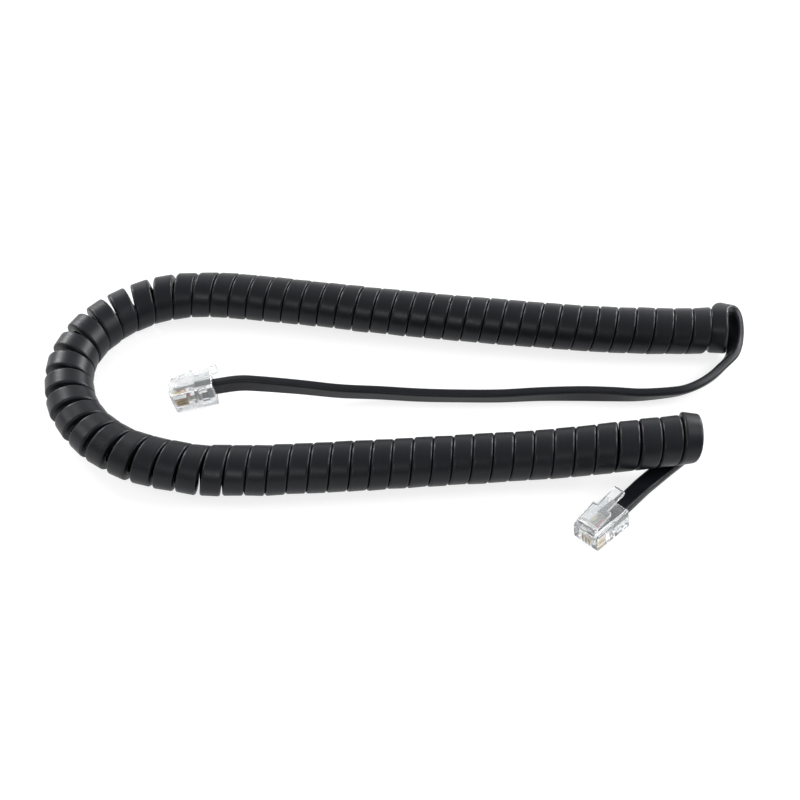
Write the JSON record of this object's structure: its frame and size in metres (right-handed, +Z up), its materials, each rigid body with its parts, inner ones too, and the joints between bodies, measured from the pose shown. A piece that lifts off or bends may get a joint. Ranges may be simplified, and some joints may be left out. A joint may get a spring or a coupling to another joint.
{
  "type": "coiled telephone-style control cord",
  "caption": "Coiled flat four-wire cord for a hand controller, with a clear latching modular plug on each end.",
  "frame": {"origin": "under the middle of the bounding box, on the surface that the cord lies on", "axes": "+X along the coiled U, from its bend towards its two ends, +Y to the rear, from plug B's side to the far strand, +Z up"},
  "size_m": [0.1891, 0.0907, 0.0158],
  "materials": {
    "cord_jacket": "satin flexible PVC, charcoal black",
    "clear_housing": "clear polycarbonate, moulded gloss",
    "clear_latch": "clear polycarbonate, moulded gloss",
    "clear_anchor": "clear polycarbonate, moulded gloss",
    "contact_gold": "gold plated, bright",
    "conductor_black": "satin insulation",
    "conductor_red": "satin insulation",
    "conductor_green": "satin insulation",
    "conductor_yellow": "satin insulation"
  },
  "bodies": {
    "cord": {"coil": "cord_jacket", "tail_a_jacket": "cord_jacket", "tail_b_jacket": "cord_jacket", "plug_a_housing": "clear_housing", "plug_a_jacket_anchor": "clear_anchor", "plug_a_conductor_anchor": "clear_anchor", "plug_a_contact_1": "contact_gold", "plug_a_contact_2": "contact_gold", "plug_a_contact_3": "contact_gold", "plug_a_contact_4": "contact_gold", "plug_a_conductor_1": "conductor_black", "plug_a_conductor_2": "conductor_red", "plug_a_conductor_3": "conductor_green", "plug_a_conductor_4": "conductor_yellow", "plug_b_housing": "clear_housing", "plug_b_jacket_anchor": "clear_anchor", "plug_b_conductor_anchor": "clear_anchor", "plug_b_contact_1": "contact_gold", "plug_b_contact_2": "contact_gold", "plug_b_contact_3": "contact_gold", "plug_b_contact_4": "contact_gold", "plug_b_conductor_1": "conductor_black", "plug_b_conductor_2": "conductor_red", "plug_b_conductor_3": "conductor_green", "plug_b_conductor_4": "conductor_yellow"},
    "latch_a": {"plug_a_latch": "clear_latch"},
    "latch_b": {"plug_b_latch": "clear_latch"}
  },
  "joints": [
    {"name": "plug_a_latch_hinge", "type": "hinge", "parent": "cord", "child": "latch_a", "pos_m": [-0.05912, 0.00598, 0.00449], "axis": [0.133, 0.0917, -0.9869], "range_deg": [0, 14], "stiffness_Nm_per_rad": 0.2},
    {"name": "plug_b_latch_hinge", "type": "hinge", "parent": "cord", "child": "latch_b", "pos_m": [0.04665, -0.04068, 0.00659], "axis": [-0.6446, 0.7421, -0.1839], "range_deg": [0, 14], "stiffness_Nm_per_rad": 0.2}
  ]
}
